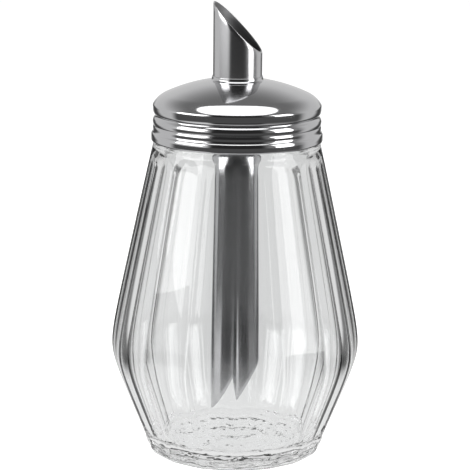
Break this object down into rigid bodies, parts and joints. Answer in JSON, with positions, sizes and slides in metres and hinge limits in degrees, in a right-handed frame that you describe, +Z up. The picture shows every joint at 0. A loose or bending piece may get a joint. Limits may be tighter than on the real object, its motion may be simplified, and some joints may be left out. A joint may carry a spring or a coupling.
{
  "type": "sugar pourer",
  "caption": "Table sugar pourer: fluted clear glass jar with a threaded steel cap and a steel tube that runs down inside and ends above in a slant-cut spout.",
  "frame": {"origin": "centre of the jar's foot, on the surface it stands on", "axes": "+Z up along the jar's axis; the spout's tip points to -X, its low side to +X and a little to -Y, which is the front in the picture"},
  "size_m": [0.0876, 0.0876, 0.16],
  "materials": {
    "jar_glass": "clear pressed glass, fire-polished",
    "seal_rubber": "soft, matte, off-white",
    "cap_steel": "polished stainless steel, near mirror",
    "ring_steel": "plain stainless steel, as pressed",
    "tube_steel": "polished stainless tube with fine lengthwise drawing marks"
  },
  "bodies": {
    "jar": {"glass_jar": "jar_glass"},
    "seal": {"sealing_ring": "seal_rubber"},
    "cap": {"cap_shell": "cap_steel", "tube_retaining_ring": "ring_steel", "pouring_tube": "tube_steel"}
  },
  "joints": [
    {"name": "cap_rise", "type": "slide", "parent": "jar", "child": "seal", "axis": [0, 0, 1], "range_m": [0, 0.0063]},
    {"name": "cap_turn", "type": "hinge", "parent": "seal", "child": "cap", "pos_m": [0, 0, 0.1252], "axis": [0, 0, 1], "range_deg": [0, 450]}
  ],
  "couplings": [
    {"joint": "cap_rise", "follows": "cap_turn", "m_per_rad": 0.00079577}
  ]
}
